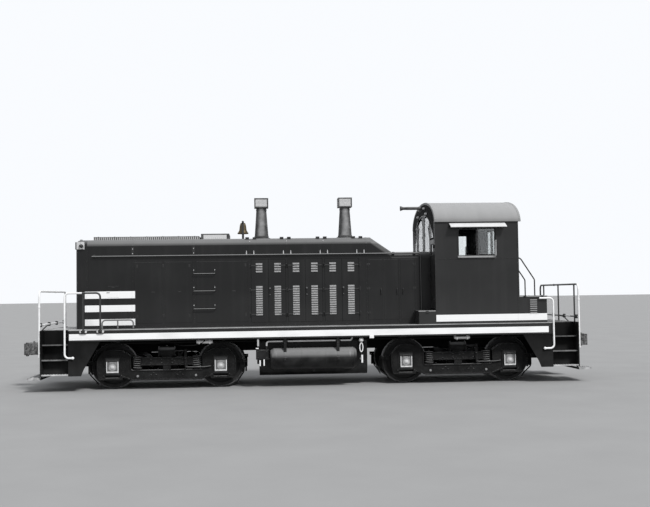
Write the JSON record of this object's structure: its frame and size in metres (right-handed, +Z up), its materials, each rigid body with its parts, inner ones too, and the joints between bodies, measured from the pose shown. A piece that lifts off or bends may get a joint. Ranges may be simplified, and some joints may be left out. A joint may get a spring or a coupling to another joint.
{
  "type": "diesel-electric switching locomotive",
  "caption": "End-cab four-axle diesel switcher with a long hood, louvred hood doors, arched cab roof, corner steps and rigid-axle swivel trucks.",
  "frame": {"origin": "midway between the coupler faces, on the centre line, at the tips of the wheel flanges", "axes": "+X towards the cab end, +Y to the far side of the picture, +Z up"},
  "size_m": [13.538, 3.4, 4.4278],
  "materials": {
    "hood_paint": "gloss",
    "roof_paint": "satin",
    "cab_paint": "gloss",
    "cab_roof_paint": "satin",
    "sill_paint": "gloss",
    "frame_paint": "satin",
    "deck_paint": "matte",
    "box_paint": "gloss",
    "rail_paint": "gloss",
    "hood_rail_paint": "satin",
    "grille_steel": "satin",
    "stack_steel": "matte",
    "bell_bronze": "aged",
    "horn_metal": "satin",
    "lamp_metal": "satin",
    "cab_glass": "clear",
    "awning_paint": "satin",
    "cab_interior": "satin",
    "seat_leather": "worn",
    "engine_paint": "satin",
    "tank_paint": "satin",
    "coupler_iron": "rough",
    "truck_iron": "rough",
    "journal_box_iron": "worn",
    "motor_iron": "rough",
    "wheel_steel": "worn"
  },
  "bodies": {
    "frame": {"hood_sides": "hood_paint", "hood_nose": "hood_paint", "hood_roof": "roof_paint", "cab_sides": "cab_paint", "cab_front_wall": "cab_paint", "cab_rear_wall": "cab_paint", "cab_roof": "cab_roof_paint", "side_sills": "sill_paint", "centre_sill": "frame_paint", "body_bolsters": "frame_paint", "corner_steps": "frame_paint", "end_plates": "frame_paint", "deck": "deck_paint", "cab_boxes": "box_paint", "handrails": "rail_paint", "hood_rails": "hood_rail_paint", "roof_grille": "grille_steel", "nose_shutters": "grille_steel", "stacks": "stack_steel", "bell": "bell_bronze", "horn": "horn_metal", "lamps": "lamp_metal", "cab_glass": "cab_glass", "awnings": "awning_paint", "cab_floor": "cab_interior", "control_stand": "cab_interior", "seats": "seat_leather", "engine": "engine_paint", "fuel_tank": "tank_paint", "air_system": "tank_paint"},
    "hood_door_near_1": {"hood_door_near_1": "hood_paint"},
    "hood_door_near_2": {"hood_door_near_2": "hood_paint"},
    "hood_door_near_3": {"hood_door_near_3": "hood_paint"},
    "hood_door_near_4": {"hood_door_near_4": "hood_paint"},
    "hood_door_near_5": {"hood_door_near_5": "hood_paint"},
    "hood_door_near_6": {"hood_door_near_6": "hood_paint"},
    "hood_door_far_1": {"hood_door_far_1": "hood_paint"},
    "hood_door_far_2": {"hood_door_far_2": "hood_paint"},
    "hood_door_far_3": {"hood_door_far_3": "hood_paint"},
    "hood_door_far_4": {"hood_door_far_4": "hood_paint"},
    "hood_door_far_5": {"hood_door_far_5": "hood_paint"},
    "hood_door_far_6": {"hood_door_far_6": "hood_paint"},
    "cab_front_door": {"cab_front_door": "cab_paint"},
    "cab_rear_door": {"cab_rear_door": "cab_paint"},
    "coupler_front": {"coupler_front": "coupler_iron"},
    "coupler_rear": {"coupler_rear": "coupler_iron"},
    "truck_front": {"truck_front_frame": "truck_iron", "truck_front_bolster": "truck_iron", "truck_front_brakes": "truck_iron", "truck_front_boxes": "journal_box_iron", "truck_front_motors": "motor_iron"},
    "truck_rear": {"truck_rear_frame": "truck_iron", "truck_rear_bolster": "truck_iron", "truck_rear_brakes": "truck_iron", "truck_rear_boxes": "journal_box_iron", "truck_rear_motors": "motor_iron"},
    "wheelset_1": {"wheelset_1": "wheel_steel"},
    "wheelset_2": {"wheelset_2": "wheel_steel"},
    "wheelset_3": {"wheelset_3": "wheel_steel"},
    "wheelset_4": {"wheelset_4": "wheel_steel"}
  },
  "joints": [
    {"name": "truck_front_swivel", "type": "hinge", "parent": "frame", "child": "truck_front", "pos_m": [-3.353, 0, 0.77], "axis": [0, 0, 1], "range_deg": [-7, 7]},
    {"name": "coupler_front_swing", "type": "hinge", "parent": "frame", "child": "coupler_front", "pos_m": [-5.9, 0, 0.904], "axis": [0, 0, 1], "range_deg": [-7, 7]},
    {"name": "truck_rear_swivel", "type": "hinge", "parent": "frame", "child": "truck_rear", "pos_m": [3.353, 0, 0.77], "axis": [0, 0, 1], "range_deg": [-7, 7]},
    {"name": "coupler_rear_swing", "type": "hinge", "parent": "frame", "child": "coupler_rear", "pos_m": [5.9, 0, 0.904], "axis": [0, 0, 1], "range_deg": [-7, 7]},
    {"name": "wheelset_1_turn", "type": "hinge", "parent": "truck_front", "child": "wheelset_1", "pos_m": [-4.572, 0, 0.536], "axis": [0, 1, 0], "continuous": true},
    {"name": "wheelset_2_turn", "type": "hinge", "parent": "truck_front", "child": "wheelset_2", "pos_m": [-2.134, 0, 0.536], "axis": [0, 1, 0], "continuous": true},
    {"name": "wheelset_3_turn", "type": "hinge", "parent": "truck_rear", "child": "wheelset_3", "pos_m": [2.134, 0, 0.536], "axis": [0, 1, 0], "continuous": true},
    {"name": "wheelset_4_turn", "type": "hinge", "parent": "truck_rear", "child": "wheelset_4", "pos_m": [4.572, 0, 0.536], "axis": [0, 1, 0], "continuous": true},
    {"name": "hood_door_near_1_hinge", "type": "hinge", "parent": "frame", "child": "hood_door_near_1", "pos_m": [-1.432, -0.932, 2.2], "axis": [0, 0, -1], "range_deg": [0, 90]},
    {"name": "hood_door_near_2_hinge", "type": "hinge", "parent": "frame", "child": "hood_door_near_2", "pos_m": [-0.613, -0.932, 2.2], "axis": [0, 0, 1], "range_deg": [0, 90]},
    {"name": "hood_door_near_3_hinge", "type": "hinge", "parent": "frame", "child": "hood_door_near_3", "pos_m": [-0.577, -0.932, 2.2], "axis": [0, 0, -1], "range_deg": [0, 90]},
    {"name": "hood_door_near_4_hinge", "type": "hinge", "parent": "frame", "child": "hood_door_near_4", "pos_m": [0.242, -0.932, 2.2], "axis": [0, 0, 1], "range_deg": [0, 90]},
    {"name": "hood_door_near_5_hinge", "type": "hinge", "parent": "frame", "child": "hood_door_near_5", "pos_m": [0.278, -0.932, 2.2], "axis": [0, 0, -1], "range_deg": [0, 90]},
    {"name": "hood_door_near_6_hinge", "type": "hinge", "parent": "frame", "child": "hood_door_near_6", "pos_m": [1.097, -0.932, 2.2], "axis": [0, 0, 1], "range_deg": [0, 90]},
    {"name": "hood_door_far_1_hinge", "type": "hinge", "parent": "frame", "child": "hood_door_far_1", "pos_m": [-1.432, 0.932, 2.2], "axis": [0, 0, 1], "range_deg": [0, 90]},
    {"name": "hood_door_far_2_hinge", "type": "hinge", "parent": "frame", "child": "hood_door_far_2", "pos_m": [-0.613, 0.932, 2.2], "axis": [0, 0, -1], "range_deg": [0, 90]},
    {"name": "hood_door_far_3_hinge", "type": "hinge", "parent": "frame", "child": "hood_door_far_3", "pos_m": [-0.577, 0.932, 2.2], "axis": [0, 0, 1], "range_deg": [0, 90]},
    {"name": "hood_door_far_4_hinge", "type": "hinge", "parent": "frame", "child": "hood_door_far_4", "pos_m": [0.242, 0.932, 2.2], "axis": [0, 0, -1], "range_deg": [0, 90]},
    {"name": "hood_door_far_5_hinge", "type": "hinge", "parent": "frame", "child": "hood_door_far_5", "pos_m": [0.278, 0.932, 2.2], "axis": [0, 0, 1], "range_deg": [0, 90]},
    {"name": "hood_door_far_6_hinge", "type": "hinge", "parent": "frame", "child": "hood_door_far_6", "pos_m": [1.097, 0.932, 2.2], "axis": [0, 0, -1], "range_deg": [0, 90]},
    {"name": "cab_front_door_hinge", "type": "hinge", "parent": "frame", "child": "cab_front_door", "pos_m": [2.757, -1.432, 2.5], "axis": [0, 0, 1], "range_deg": [0, 90]},
    {"name": "cab_rear_door_hinge", "type": "hinge", "parent": "frame", "child": "cab_rear_door", "pos_m": [4.748, 0.312, 2.5], "axis": [0, 0, 1], "range_deg": [0, 90]}
  ]
}
